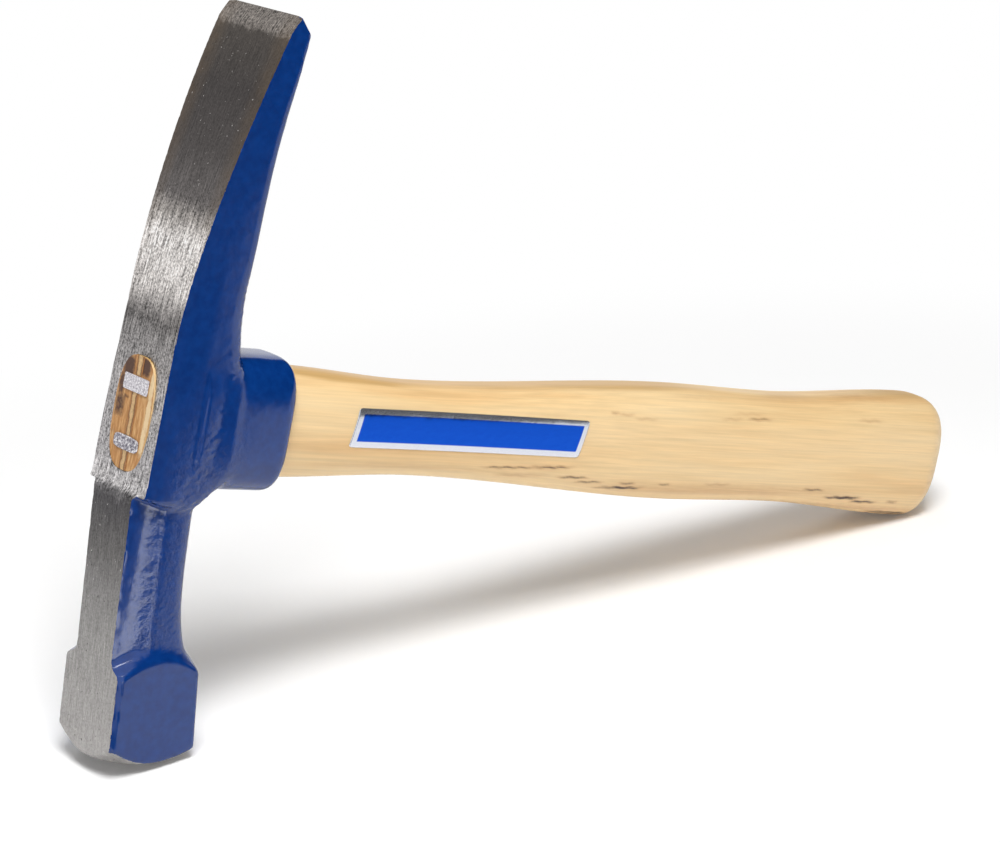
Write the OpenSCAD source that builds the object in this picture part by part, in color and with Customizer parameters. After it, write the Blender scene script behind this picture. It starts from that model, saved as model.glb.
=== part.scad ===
// Bricklayer's hammer: a forged steel head on a wedged wooden handle.
// The hammer is modelled along its own handle (x along the handle from the head's ground
// top face, z towards the chisel, the labelled cheek at -y) and stand() then sets it
// down on the edge of its striking face and its butt, as it stands on a bench.

/* [Poll] */
// Width across the square poll
face_size = 25.6; // [22:0.2:30]
// Distance from the handle's axis down to the striking face
face_drop = 92.2; // [84:0.2:98]
// Length of the square block from its shoulder to the striking face
poll_length = 28.6; // [24:0.2:32]
// Width of the flat left on the striking face inside its bevel
face_flat = 23.6; // [18:0.2:24]
// Lean of the poll and neck away from square with the handle, in degrees
neck_tilt = 4.2; // [2:0.1:6]
// How far the neck's ground strip stands out of the eye's ground face
neck_step = 1.6; // [0.6:0.1:2.4]

/* [Neck] */
// Width of the ground strip on top of the neck
neck_strip = 17; // [13:0.2:19]
// Width of the neck across its cheeks
neck_width = 21.4; // [19:0.2:22]
// Depth of the neck just below the eye
neck_depth = 19.4; // [16:0.2:21]

/* [Eye and collar] */
// Width of the head across the eye's cheeks
eye_width = 25.6; // [24:0.2:28]
// Depth of the eye block behind the ground top face
eye_depth = 25; // [22:0.2:28]
// Distance from the handle's axis to the eye block's lower end
eye_below = 23; // [20:0.2:25]
// Length of the oval eye where the handle's end shows
eye_long = 30.2; // [27:0.2:31]
// Width of the oval eye where the handle's end shows
eye_short = 16.8; // [15:0.2:18]
// Narrowing of the eye at its waist, on each axis
eye_waist = 1.6; // [0.8:0.1:2.4]
// Reach of the collar down the handle from the ground top face
collar_reach = 42.6; // [38:0.2:50]
// Height of the collar along the head
collar_height = 36.6; // [34:0.2:40]
// Width of the collar across the cheeks
collar_width = 27; // [25:0.2:30]
// Wall of the collar where the handle leaves it
collar_wall = 3.1; // [2:0.1:3.4]

/* [Blade] */
// Distance from the handle's axis up to the chisel edge
blade_reach = 107; // [95:0.5:115]
// Width of the blade at the chisel edge
blade_tip_width = 32.8; // [28:0.2:40]
// How far the chisel edge hangs back from the ground top face
blade_sweep = 18; // [16:0.2:24]
// Depth of the blade at its slimmest, above the collar
blade_depth = 18.8; // [17:0.2:22]
// Depth of the blade where its bevels start
blade_tip_depth = 5.1; // [3:0.1:7]
// Length of the bevels at the chisel edge
bevel_length = 4.7; // [3:0.1:7]

/* [Handle] */
// Length from the head's ground top face to the butt
handle_length = 305.5; // [270:0.5:340]
// Height of the handle at its slim neck
grip_neck_height = 26; // [24:0.2:29]
// Height of the handle at its swell
grip_swell_height = 34; // [31:0.2:38]
// Height of the handle at the waist before the butt
grip_waist_height = 33; // [30:0.2:36]
// Height of the handle at the butt
grip_butt_height = 39; // [36:0.2:44]
// Thickness of the handle at its slim neck
grip_neck_thick = 20; // [18:0.2:22]
// Thickness of the handle at its swell
grip_swell_thick = 25.2; // [22:0.2:28]
// Thickness of the handle at the butt
grip_butt_thick = 27; // [24:0.2:32]

/* [Wedges] */
// Thickness of the wooden wedge where it shows
wood_wedge_thick = 3.3; // [2:0.1:4]
// Depth to which the wooden wedge is driven
wood_wedge_depth = 24.6; // [18:0.2:30]
// Distance from the handle's axis to each steel wedge
steel_wedge_offset = 7.8; // [6.5:0.1:9]
// Width of each steel wedge across the eye
steel_wedge_width = 11.3; // [9:0.1:12]
// Thickness of the square-ended steel wedge where it shows
square_wedge_thick = 4.3; // [3:0.1:5]
// Thickness of the round-ended steel wedge where it shows
round_wedge_thick = 3.9; // [3:0.1:5]
// Depth to which the steel wedges are driven
steel_wedge_depth = 16.4; // [12:0.2:20]

/* [Label] */
// Start of the label along the handle
label_start = 64.8; // [56:0.2:70]
// Length of the label along the handle
label_length = 84; // [70:0.5:90]
// Height of the label
label_height = 10.8; // [9:0.1:14]
// Slant of the label's ends along the handle
label_slant = 1.8; // [0:0.1:6]

/* [Fits] */
// Clearance between the handle's tenon and the eye, and between the wedges and their kerfs
seat_gap = 0.05; // [0.02:0.01:0.1]
// Thickness of the label film
film = 0.2; // [0.1:0.05:0.4]

/* [Hidden] */

STEEL = "slategray";
WOOD = "burlywood";
DARK_WOOD = "peru";
FILM_BLUE = "royalblue";

tiny = 0.01;
ring_points = 40;
head_oval = 2.3;        // how square the collar and the eye are: 2 is an ellipse
grip_oval = 2.9;        // how square the handle's section is
sweep_from = 8.2;         // height on the head where the blade starts to curve back
face_grade = 0.025;     // slope of the ground top face at the eye
label_rise = 1.3;       // height of the label's middle above the handle's axis
butt_rise = 1.6;        // how far the butt's crown sits above the handle's axis
blade_waist = 42;       // height of the slimmest part of the blade
blade_root = 18.4;        // height where the blade leaves the eye
wedge_point = 0.3;      // share of a wedge's thickness left at its thin end
butt_dome = 12.3;         // length of the rounded butt
neck_station = 90.1;      // places along the handle where its key sections lie
swell_station = 192.4;
waist_station = 231.3;
butt_station = handle_length - butt_dome;
tenon_proud = 0.3;      // how far the sawn end of the handle stands out of the eye
wedge_proud = 0.3;      // how far the steel wedges stand out of the handle's end

// ---- Curves ----

function smooth(t) = let (c = min(max(t, 0), 1)) c * c * (3 - 2 * c);
function between(a, b, t) = a + (b - a) * t;
function ease(x, x0, x1, a, b) = between(a, b, smooth((x - x0) / (x1 - x0)));
function power(x, n) = sign(x) * pow(abs(x), n);
function arc(centre, r, from, to, steps) =
    [for (i = [0 : steps]) let (a = between(from, to, i / steps)) centre + r * [cos(a), sin(a)]];

// A ring of points on a squared ellipse at x, half_y wide and half_z high.
function oval_ring(x, half_y, half_z, n) =
    [for (i = [0 : ring_points - 1]) let (a = 360 * i / ring_points)
        [x, half_y * power(cos(a), 2 / n), half_z * power(sin(a), 2 / n)]];

// A closed solid through a list of rings with equal point counts, in order along +x.
module skin(rings) {
    count = len(rings[0]);
    last = len(rings) - 1;
    polyhedron(
        points = [for (ring = rings) each ring],
        faces = concat(
            [[for (i = [0 : count - 1]) i]],
            [for (r = [0 : last - 1], i = [0 : count - 1]) let (j = (i + 1) % count)
                [r * count + i, (r + 1) * count + i, (r + 1) * count + j, r * count + j]],
            [[for (i = [count - 1 : -1 : 0]) last * count + i]]));
}

// ---- Handle sizes along its length ----

collar_exit_height = collar_height - 2 * collar_wall;
collar_exit_thick = collar_width - 2 * collar_wall;

function grip_height(x) =
    x < neck_station ? ease(x, collar_reach, neck_station, collar_exit_height, grip_neck_height) :
    x < swell_station ? ease(x, neck_station, swell_station, grip_neck_height, grip_swell_height) :
    x < waist_station ? ease(x, swell_station, waist_station, grip_swell_height, grip_waist_height) :
    ease(x, waist_station, butt_station, grip_waist_height, grip_butt_height);
function grip_thick(x) =
    x < neck_station ? ease(x, collar_reach, neck_station, collar_exit_thick, grip_neck_thick) :
    x < swell_station ? ease(x, neck_station, swell_station, grip_neck_thick, grip_swell_thick) :
    ease(x, swell_station, butt_station, grip_swell_thick, grip_butt_thick);
function dome(x) = let (t = max(x - butt_station, 0) / butt_dome) pow(1 - pow(min(t, 0.999), 2.2), 1 / 2.2);
function handle_half(x) = grip_height(x) / 2 * dome(x);
function handle_mid(x) = butt_rise * (1 - dome(x));

grip_stations = concat(
    [for (i = [1 : 38]) between(collar_reach, butt_station, i / 38)],
    [for (i = [1 : 14]) butt_station + butt_dome * sin(90 * i / 14.3)]);

// ---- The eye: waisted inside, so that the wedges lock the spread tenon ----

function eye_share(x) = smooth(abs(x / collar_reach - 0.5) * 2);
function eye_half_z(x) = x < collar_reach / 2
    ? between(eye_long / 2 - eye_waist, eye_long / 2, eye_share(x))
    : between(eye_long / 2 - eye_waist, collar_exit_height / 2, eye_share(x));
function eye_half_y(x) = x < collar_reach / 2
    ? between(eye_short / 2 - eye_waist / 2, eye_short / 2, eye_share(x))
    : between(eye_short / 2 - eye_waist / 2, collar_exit_thick / 2, eye_share(x));

// ---- The head's side outline ----

function blade_top(z) = face_grade * z
    + (blade_sweep - face_grade * blade_reach) * pow(max(z - sweep_from, 0) / (blade_reach - sweep_from), 1.89);
bevel_start = blade_reach - bevel_length;
blade_back_end = blade_top(bevel_start) + blade_tip_depth;
edge_x = blade_top(bevel_start) + blade_tip_depth * 0.48;
edge_land = 0.6;        // blunt width of the chisel edge
function blade_back(z) = between(blade_depth, blade_back_end,
    pow(abs(z - blade_waist) / (bevel_start - blade_waist), 1.5));
function blade_half_width(z) = between(eye_width, blade_tip_width, smooth((z - blade_root) / (blade_reach - blade_root))) / 2;

eye_corner = 12.3;        // radius of the eye block's lower back corner
eye_toe = 3.6;          // how much higher the eye block ends at its ground face
poll_corner = face_size / 2 * 1.38; // radius of the turned blank that trims the square's corners
poll_left_low = (sqrt(2) - 1) * face_size / 2 * 0.68;

// ---- Standing: the tilt that rests both the striking face and the butt on z = 0 ----

face_centre = [face_size / 2, -face_drop];
poll_low = [for (side = [-1, 1]) tilted(face_centre + [side * face_flat / 2, 0])];
handle_low = [for (x = grip_stations) if (x > swell_station) [x, handle_mid(x) - handle_half(x)]];
handle_right = [for (x = grip_stations) if (x > swell_station) [x, handle_mid(x) + handle_half(x)]];

// A point on the poll or neck, turned with them about the eye block's lower end.
function tilted(p) = let (a = neck_tilt, d = p - [0, -eye_below])
    [d.x * cos(a) - d.y * sin(a) - neck_step, -eye_below + d.x * sin(a) + d.y * cos(a)];
function height_when(p, lean) = -p.x * sin(lean) + p.y * cos(lean);
function reach_when(p, lean) = p.x * cos(lean) + p.y * sin(lean);
function lowest(points, lean) = let (h = [for (p = points) height_when(p, lean)])
    points[search(min(h), h)[0]];
function settle(lean, turns) = turns == 0 ? lean :
    let (f = lowest(poll_low, lean), b = lowest(handle_low, lean))
    settle(atan2(b.y - f.y, b.x - f.x), turns - 1);

lean = settle(14, 6);
floor_height = height_when(lowest(poll_low, lean), lean);
left_reach = reach_when(tilted([0, poll_left_low - face_drop]), lean);
right_reach = max([for (p = concat(handle_low, handle_right)) reach_when(p, lean)]);

module stand() {
    translate([-(left_reach + right_reach) / 2, 0, -floor_height])
        rotate([0, lean, 0])
            children();
}

// Draws an outline given as [x, z] points and thickens it evenly to both cheeks.
module side_plate(outline, width) {
    rotate([90, 0, 0])
        linear_extrude(height = width, center = true)
            polygon(outline);
}

// ---- Head ----

module blade_and_eye() {
    steps = 14;
    blade_zs = [for (i = [0 : steps]) between(sweep_from, bevel_start, i / steps)];
    back_zs = [for (i = [0 : steps]) between(bevel_start, blade_root, i / steps)];
    intersection() {
        side_plate(concat(
            [[-face_grade * eye_below, eye_toe - eye_below]],
            [for (z = blade_zs) [blade_top(z), z]],
            [[edge_x, blade_reach], [edge_x + edge_land, blade_reach]],
            [for (z = back_zs) [blade_back(z), z]],
            [[eye_depth, blade_root - (eye_depth - blade_back(blade_root))]],
            arc([eye_depth - eye_corner, -eye_below + eye_corner], eye_corner, 0, -90, 8)),
            2 * max(blade_tip_width, eye_width));
        rotate([0, 90, 0])
            linear_extrude(height = 2 * collar_reach, center = true)
                polygon(concat(
                    [for (i = [0 : steps]) let (z = between(-eye_below, blade_reach, i / steps)) [-z, blade_half_width(z)]],
                    [for (i = [steps : -1 : 0]) let (z = between(-eye_below, blade_reach, i / steps)) [-z, -blade_half_width(z)]]));
    }
}

module collar() {
    round_over = 2.2;
    skin([for (i = [0 : 12])
        let (x = i == 0 ? eye_depth / 3 : collar_reach - round_over + round_over * sin(90 * (i - 1) / 11),
             inset = i == 0 ? 0 : round_over * 0.6 * (1 - cos(90 * (i - 1) / 11)))
        oval_ring(x, collar_width / 2 - inset, collar_height / 2 - inset, head_oval)]);
}

module eye_hole() {
    skin([for (i = [-1 : 13])
        let (x = collar_reach * i / 12, inside = min(max(x, 0), collar_reach))
        oval_ring(x, eye_half_y(inside), eye_half_z(inside), head_oval)]);
}

// An eight-sided neck section, drawn as points [x, y, z] around the neck at height z.
function neck_ring(z, strip, width, depth) =
    let (edge = depth * 0.52, toe = depth - 1.6)
    [[0, strip / 2, z], [0, -strip / 2, z], [edge, -width / 2, z], [toe, -width / 2 + 0.6, z],
     [depth, -width / 2 + 3, z], [depth, width / 2 - 3, z], [toe, width / 2 - 0.6, z], [edge, width / 2, z]];

module neck() {
    steps = 10;
    top = -eye_below + 6;
    bottom = -face_drop + poll_length - 2;
    skin([for (i = [steps : -1 : 0])
        let (t = i / steps, flare = pow(t, 5))
        neck_ring(between(top, bottom, t), neck_strip - 1.2 * t,
                  between(neck_width, neck_width + 0.8, flare),
                  between(neck_depth, face_size - 1.4, flare))]);
}

module poll() {
    half = face_size / 2;
    corner = poll_corner;
    shoulder_rise = corner - half;
    shoulder = -face_drop + poll_length;
    bevel_rise = (corner - face_flat / 2) * 0.68;
    intersection() {
        translate([0, -half, -face_drop])
            cube([face_size, face_size, poll_length * 1.5]);
        translate([half, 0, 0])
            rotate_extrude($fn = 96)
                polygon([
                    [0, -face_drop],
                    [face_flat / 2, -face_drop],
                    [corner, -face_drop + bevel_rise],
                    [corner, shoulder - shoulder_rise],
                    [half * 0.7, shoulder + half * 0.3],
                    [0, shoulder + half * 0.3]]);
    }
}

module hammer_head() {
    color(STEEL) difference() {
        union() {
            blade_and_eye();
            collar();
            translate([0, 0, -eye_below])
                rotate([0, -neck_tilt, 0])
                    translate([-neck_step, 0, eye_below]) {
                        neck();
                        poll();
                    }
        }
        eye_hole();
    }
}

// ---- Handle and what locks it ----

// The wooden wedge's blank, driven lengthwise into the tenon's saw kerf.
module wooden_wedge_blank(gap) {
    half_top = wood_wedge_thick / 2 + gap;
    half_end = wood_wedge_thick * wedge_point / 2 + gap;
    translate([0, 0, -eye_long])
        linear_extrude(height = 2 * eye_long)
            polygon([[-tenon_proud, half_top], [wood_wedge_depth + gap, half_end],
                     [wood_wedge_depth + gap, -half_end], [-tenon_proud, -half_top]]);
}

// A steel wedge's blank, driven across the tenon: thick where it shows, thin at its far end.
module steel_wedge_blank(thick, gap, round_ends) {
    half_top = thick / 2 + gap;
    half_end = thick * wedge_point / 2 + gap;
    width = steel_wedge_width + 2 * gap;
    out = -tenon_proud - wedge_proud;
    intersection() {
        side_plate([[out, half_top], [steel_wedge_depth + gap, half_end],
                    [steel_wedge_depth + gap, -half_end], [out, -half_top]], width);
        if (round_ends)
            rotate([0, 90, 0])
                linear_extrude(height = 4 * steel_wedge_depth, center = true)
                    union() {
                        square([thick * 2, width - thick], center = true);
                        for (side = [-1, 1])
                            translate([0, side * (width - thick) / 2])
                                circle(d = thick + 2 * gap, $fn = 48);
                    }
    }
}

module square_wedge_place() {
    translate([0, 0, steel_wedge_offset]) children();
}

module round_wedge_place() {
    translate([0, 0, -steel_wedge_offset]) children();
}

module tenon_and_grip() {
    tenon_rings = [for (i = [0 : 12])
        let (x = i == 0 ? -tenon_proud : collar_reach * i / 12, inside = max(x, 0))
        oval_ring(x, eye_half_y(inside) - seat_gap, eye_half_z(inside) - seat_gap,
                  head_oval)];
    grip_rings = [for (x = grip_stations)
        let (squareness = ease(x, collar_reach, neck_station, head_oval, grip_oval))
        [for (p = oval_ring(x, grip_thick(x) / 2 * dome(x) - seat_gap, handle_half(x) - seat_gap, squareness))
            p + [0, 0, handle_mid(x)]]];
    skin(concat(tenon_rings, grip_rings));
}

module handle() {
    color(WOOD) difference() {
        tenon_and_grip();
        wooden_wedge_blank(seat_gap);
        square_wedge_place() steel_wedge_blank(square_wedge_thick, seat_gap, false);
        round_wedge_place() steel_wedge_blank(round_wedge_thick, seat_gap, true);
    }
}

module wooden_wedge() {
    color(DARK_WOOD) difference() {
        intersection() {
            wooden_wedge_blank(0);
            tenon_and_grip();
        }
        square_wedge_place() steel_wedge_blank(square_wedge_thick, seat_gap, false);
        round_wedge_place() steel_wedge_blank(round_wedge_thick, seat_gap, true);
    }
}

module square_steel_wedge() {
    color("silver") square_wedge_place() steel_wedge_blank(square_wedge_thick, 0, false);
}

module round_steel_wedge() {
    color("gray") round_wedge_place() steel_wedge_blank(round_wedge_thick, 0, true);
}

// ---- Label: a thin film wrapped on the handle's flat side ----

function grip_side(x, z, out) =
    let (half = grip_height(x) / 2, squareness = ease(x, collar_reach, neck_station, head_oval, grip_oval))
    [x, -(grip_thick(x) / 2 * pow(1 - pow(abs(z / half), squareness), 1 / squareness) + out), z];

module handle_label() {
    across = 10;
    along = 28;
    function place(i, j, out) =
        let (t = j / across, z = label_rise + label_height * (t - 0.5))
        grip_side(between(label_start, label_start + label_length, i / along) + label_slant * (t - 0.5), z, out);
    color(FILM_BLUE)
        skin([for (i = [0 : along]) concat(
            [for (j = [0 : across]) place(i, j, 0)],
            [for (j = [across : -1 : 0]) place(i, j, film)])]);
}

stand() hammer_head();
stand() handle();
stand() wooden_wedge();
stand() square_steel_wedge();
stand() round_steel_wedge();
stand() handle_label();
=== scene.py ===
import math

import bpy
import numpy as np
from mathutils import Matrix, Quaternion, Vector
from mathutils.bvhtree import BVHTree


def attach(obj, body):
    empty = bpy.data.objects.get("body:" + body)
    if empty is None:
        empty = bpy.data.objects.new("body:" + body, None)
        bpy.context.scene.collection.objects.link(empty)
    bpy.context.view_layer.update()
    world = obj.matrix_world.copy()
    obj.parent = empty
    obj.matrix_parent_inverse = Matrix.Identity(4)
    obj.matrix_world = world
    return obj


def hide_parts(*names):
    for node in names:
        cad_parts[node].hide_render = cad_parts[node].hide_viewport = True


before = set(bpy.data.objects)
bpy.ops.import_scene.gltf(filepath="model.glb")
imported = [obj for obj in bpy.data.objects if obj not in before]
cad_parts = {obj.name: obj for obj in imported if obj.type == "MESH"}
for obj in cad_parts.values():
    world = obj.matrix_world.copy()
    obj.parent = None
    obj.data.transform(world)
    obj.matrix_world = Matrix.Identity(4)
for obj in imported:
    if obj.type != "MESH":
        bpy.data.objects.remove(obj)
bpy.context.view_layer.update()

# ---- Head ----
# One drop-forged steel bar: square poll, eight-sided neck, eye with its oval collar, and a swept chisel
# blade. It is dipped in blue enamel, and then its top face and the chisel's front bevel are ground back to
# bright steel, so the painted forms are round and blend into each other while the ground ones meet in sharp
# edges.

# The hammer's own axes, in millimetres: along the handle, across the cheeks, and up the head from the eye.
LEAN = math.radians(14.855)          # the handle's dip as the hammer stands on its face and its butt
EYE_AT = (-0.138609, 0.0943764)      # x and z of the eye's middle on the ground face, in metres
COLLAR_REACH = 42.6                  # from the ground face to the collar's end, in millimetres like the rest
EYE_WAIST = COLLAR_REACH / 2         # how deep the eye's narrowest place lies
BLADE_TOP = 107.8                    # the chisel's edge above the eye's middle
NECK_LEAN = math.radians(4.2)        # neck and poll lean back under the eye
POLL_HALF = 12.8                     # half the poll's width, and its middle's depth under its ground strip
STRIKING_FACE = -92.2                # the poll's lower end, on the leaning neck's own height


def placed(along, across, up):
    """Hammer millimetres to metres in the frame: turned by the lean about the eye, then moved to the eye."""
    x = EYE_AT[0] + (along * math.cos(LEAN) + up * math.sin(LEAN)) / 1000
    z = EYE_AT[1] + (up * math.cos(LEAN) - along * math.sin(LEAN)) / 1000
    return np.stack([x, across / 1000, z], -1)


def smooth(t):
    """0 below 0, 1 above 1, and 3t squared less 2t cubed between."""
    c = np.clip(t, 0, 1)
    return c * c * (3 - 2 * c)


def soft_min(a, b, r):
    """The smaller of two distances, rounded off over the width r where they are nearly equal."""
    h = np.maximum(r - np.abs(a - b), 0)
    return np.minimum(a, b) - h * h / (4 * r)


def soft_max(a, b, r):
    """The larger of two distances, rounded off in the same way."""
    return -soft_min(-a, -b, r)


def ground_line(up):
    """How far back the ground face lies at each height: a slight slope, and a power curve up the blade."""
    swept = np.clip(up - 8.2, 0, None) / 98.8
    return 0.025 * up + 15.33 * swept ** 1.89 - 0.55 * smooth((up - 12) / 28)


def ripple(along, across, up, wave, seed):
    """A smooth hand-forged unevenness from -1 to 1: sines of one rough wavelength in many directions,
    summed."""
    rng = np.random.default_rng(seed)
    total = 0
    for _ in range(9):
        k = rng.normal(size=3)
        k *= 2 * math.pi / (wave * rng.uniform(0.7, 1.5) * np.linalg.norm(k))
        total = total + np.sin(k[0] * along + k[1] * across + k[2] * up + rng.uniform(0, 6.28))
    return total / 4


def past_line(x, z, through, towards):
    """Distance past a straight line in the side view, given by a point on it and the way to its far side."""
    return (towards[0] * (x - through[0]) + towards[1] * (z - through[1])) / math.hypot(*towards)


def outside_oval(y, z, half_y, half_z, power):
    """Distance outside a squared oval, along the line to its middle: the two halves' shares of it are
    raised to the power and summed."""
    share = (np.abs(z / half_z) ** power + np.abs(y / half_y) ** power) ** (1 / power)
    return np.hypot(y, z) * (1 - 1 / np.maximum(share, 1e-3))


def neck_axes(along, up):
    """Depth below the neck's ground strip, and height, in the axes of the leaning neck."""
    x, z = along + 1.6, up + 23
    cos, sin = math.cos(NECK_LEAN), math.sin(NECK_LEAN)
    return x * cos + z * sin, -x * sin + z * cos - 23


def side_profile(x, z):
    """Distance to the outline of blade and eye as seen from the cheek side: the blade's back curve down to
    the eye's rounded lower back corner, joined by a ramp, with a slanted lower end and a bevel behind the
    chisel's edge."""
    bend = np.where(z > 65, 2.7, 0.75) * ((np.clip(z, 18, None) - 65) / 30) ** 2
    straightened = smooth((z - 22) / 14) + 0.0575 * (z - 86 + np.hypot(z - 86, 4))
    back = 21.2 + bend - 1.4 * smooth((18 - z) / 10) - straightened
    bevel = past_line(x, z, (23.6, 102.2), (5.4, 4.9))
    blade = np.maximum(soft_max(x - back, bevel, 0.6), -8 - z)
    right, below = x - 12.2 + 2.4 * smooth((z + 6) / 10), -z - 10.2
    corner = np.hypot(np.maximum(right, 0), np.maximum(below, 0)) - 12.6
    corner = corner + np.minimum(np.maximum(right, below), 0)
    lower_end = past_line(x, z, (-0.56, -19.8), (-3.6, -13.5))
    ramp = past_line(x, z, (37.6, 0), (1, 1))
    block = soft_max(soft_max(corner, lower_end, 0.8), ramp, 4)
    return soft_min(blade, block, 3)


def eye_facet(x, z):
    """How far a place lies past the slanting line where the eye's flat cheek turns in to its back corner."""
    return past_line(x, z, (19.7, 9.7), (0.932, -0.362))


def upper_form(x, y, z):
    """Distance to blade and eye together: the side profile between flat cheeks, which flare up the blade,
    are drawn in a little where it leaves the eye, and turn in by 5 degrees past a slanting line across the
    eye."""
    at_eye = smooth((26 - z) / 12)
    flare = (3.4 + 0.4 * smooth((x - ground_line(z)) / 12)) * smooth((z - 18.4) / 88.6)
    waist = 0.5 * np.exp(-((z - 24) / 15) ** 2) * (1 - smooth((x - 2) / 10))
    past = eye_facet(x, z)
    half = 12.75 + flare - waist - 0.048 * (past + np.sqrt(past * past + 2))
    on_blade = 5.6 - 3.0 * smooth((z - 24) / 26) - 1.4 * smooth((z - 82) / 14)
    on_eye = 0.8 + 2.6 * smooth((x - 2) / 10)
    form = soft_max(side_profile(x, z), np.abs(y) - half, on_blade * (1 - at_eye) + on_eye * at_eye)
    return np.maximum(form, z - BLADE_TOP + 0.8 * (np.abs(y) / 16.4) ** 4)


def collar_form(x, y, z):
    """Distance to the collar: a squared oval tube along the handle, rounded at its rim and drawn in."""
    side = outside_oval(y, z, 12.3 + 1.2 * smooth((x - 18) / 6), 18.3, 3.2)
    return np.maximum(soft_max(side, x - COLLAR_REACH, 3.4), 15 - x)


def neck_form(x, y, z):
    """Distance to the neck: hollow front facets from strip to ridge, flat cheeks and a rounded underside."""
    n, m = neck_axes(x, z)
    down = np.clip((-m - 17) / 48, 0, 1)
    strip, width, ridge = 8.8 - 0.6 * down, 10.7 + 0.4 * down ** 5, 10.3 - 0.5 * down
    fall, side = width - strip, np.abs(y) - strip
    length = np.hypot(ridge, fall)
    along_facet = (ridge * n + fall * side) / length ** 2
    hollow = 0.3 * np.sin(np.clip(along_facet, 0, 1) * math.pi)
    front = (-fall * n + ridge * side) / length + hollow
    depth = 19.7 + 0.7 * (1 - down) ** 3 + 4.2 * down ** 6
    form = soft_max(soft_max(front, np.abs(y) - width, 0.5), n - depth, 5)
    return np.maximum(np.maximum(form, m + 12), -66 - m)


def face_cut(x, y, z):
    """Distance past the striking face's turned bevel and its flat."""
    n, m = neck_axes(x, z)
    steep = 0.85 - 0.33 * smooth((n - 8) / 14)
    bevel = (steep * (np.hypot(n - POLL_HALF, y) - 12.0) - (m - STRIKING_FACE)) / 1.25
    return soft_max(bevel, STRIKING_FACE - m, 0.6)


def poll_form(x, y, z):
    """Distance to the poll: a square block with softened edges, under a turned shoulder and rounded towards
    its bevel."""
    n, m = neck_axes(x, z)
    radius = np.hypot(n - POLL_HALF, y)
    front_edge = np.where(y < 0, 0.9, 0.3) * (1 - smooth(n / 1.4))
    block = soft_max(np.abs(y) - POLL_HALF + front_edge, n - 25.3 + 0.06 * (m + 66), 1.6)
    shoulder = (m + 63.6 + 0.85 * (radius - POLL_HALF)) / math.hypot(1, 0.85)
    return soft_max(soft_max(block, face_cut(x, y, z) - 0.1, 0.8), shoulder, 1.0)


def forging(x, y, z):
    """Distance to the whole painted forging: the forms joined with fillets, and rippled where the dies left
    it rough."""
    body = soft_min(upper_form(x, y, z), collar_form(x, y, z), 3.2)
    lower = soft_min(neck_form(x, y, z), poll_form(x, y, z), 1.6)
    body = soft_min(body, lower, 1.6)
    n, _ = neck_axes(x, z)
    neck = smooth((-z - 21) / 3) * smooth((z + 66) / 4) * smooth((12 - n) / 2)
    neck = neck * (0.4 + 0.9 * np.exp(-((n - 7.5) / 2) ** 2))
    bulge = smooth((eye_facet(x, z) + 1) / 3) * smooth((22 - x) / 3)
    bulge = bulge * smooth((14 - z) / 6) * smooth((z + 27) / 3)
    strip = smooth((x - 17) / 3) * smooth((44 - z) / 12) * smooth((z - 10) / 5) * smooth((27 - x) / 3)
    body = body + (0.006 + 0.01 * neck + 0.04 * bulge + 0.03 * strip) * ripple(x, y, z, 3.4, 3)
    return body + (0.018 * neck + 0.075 * bulge + 0.05 * strip) * ripple(x, y, z, 1.9, 8)


def ground_cut(x, y, z):
    """Distance outside the ground face: the swept curve on blade and eye, a flat plane on neck and poll."""
    n, _ = neck_axes(x, z)
    slope = ground_line(z + 0.5) - ground_line(z - 0.5)
    upper = (ground_line(z) - x) / np.sqrt(1 + slope * slope)
    step = smooth((z + 21.4 + 0.4 * np.sin(y * 0.5 + 1.2)) / 3.4)
    return upper * step - n * (1 - step)


def tip_cut(x, y, z):
    """Distance outside the chisel's ground front bevel."""
    return past_line(x, z, (16.0, 102.7), (-4.3, 2.56))


def eye_sizes(x):
    """Half height, half width and squareness of the eye's hole at each depth: it widens from its waist both
    ways."""
    front = x < EYE_WAIST
    widening = smooth(np.abs(x / COLLAR_REACH - 0.5) * 2)
    high = 13.5 + np.where(front, 1.6, 1.7) * widening
    wide = 7.6 + np.where(front, 0.8, 2.8) * widening
    return high, wide, np.where(front, 2.8, 2.3)


def eye_cut(x, y, z):
    """Distance inside the eye's hole."""
    high, wide, square = eye_sizes(x)
    return -outside_oval(y, z, wide, high, square)


def head_layers(x, y, z):
    """The forging and each cut; the head's own distance is the largest of them at every place."""
    return np.stack([form(x, y, z) for form in (forging, ground_cut, tip_cut, face_cut, eye_cut)])


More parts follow.
